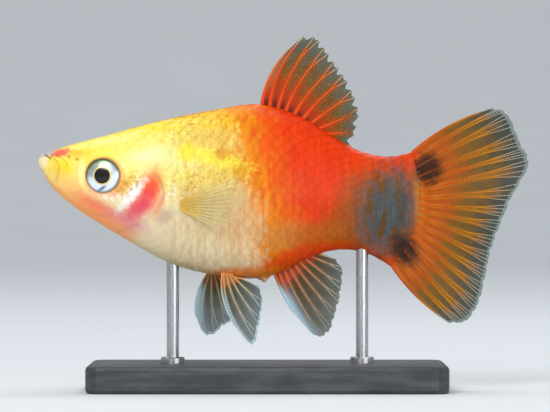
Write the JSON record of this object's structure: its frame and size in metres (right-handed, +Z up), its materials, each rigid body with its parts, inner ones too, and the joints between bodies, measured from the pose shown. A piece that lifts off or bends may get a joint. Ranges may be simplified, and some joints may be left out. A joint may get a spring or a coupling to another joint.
{
  "type": "platy",
  "caption": "Life-size museum model of an adult female red and yellow platy, fins spread, held by two rods on a flat base.",
  "frame": {"origin": "middle of the underside of the stand's base, below the middle of the fish", "axes": "+X from the fish's snout to its tail, +Y to the fish's right, +Z up from the base to the dorsal fin"},
  "size_m": [0.0549, 0.024, 0.0399],
  "materials": {
    "yellow_skin": "scaled skin, yellow head, satin gloss",
    "orange_skin": "scaled skin, yellow to deep orange, satin gloss",
    "fin": "thin rayed membrane, orange at the root and clear at the edge",
    "eye": "silver iris under a clear domed cornea",
    "base": "dark slate, honed",
    "rod": "polished round rod"
  },
  "bodies": {
    "root": {"head": "yellow_skin", "lower_jaw": "yellow_skin", "trunk": "orange_skin", "tail_stalk": "orange_skin", "eye_left": "eye", "eye_right": "eye", "dorsal_fin": "fin", "anal_fin": "fin", "tail_fin": "fin", "pectoral_fin_left": "fin", "pectoral_fin_right": "fin", "pelvic_fin_left": "fin", "pelvic_fin_right": "fin", "stand_base": "base", "stand_rod_front": "rod", "stand_rod_rear": "rod"}
  },
  "joints": []
}
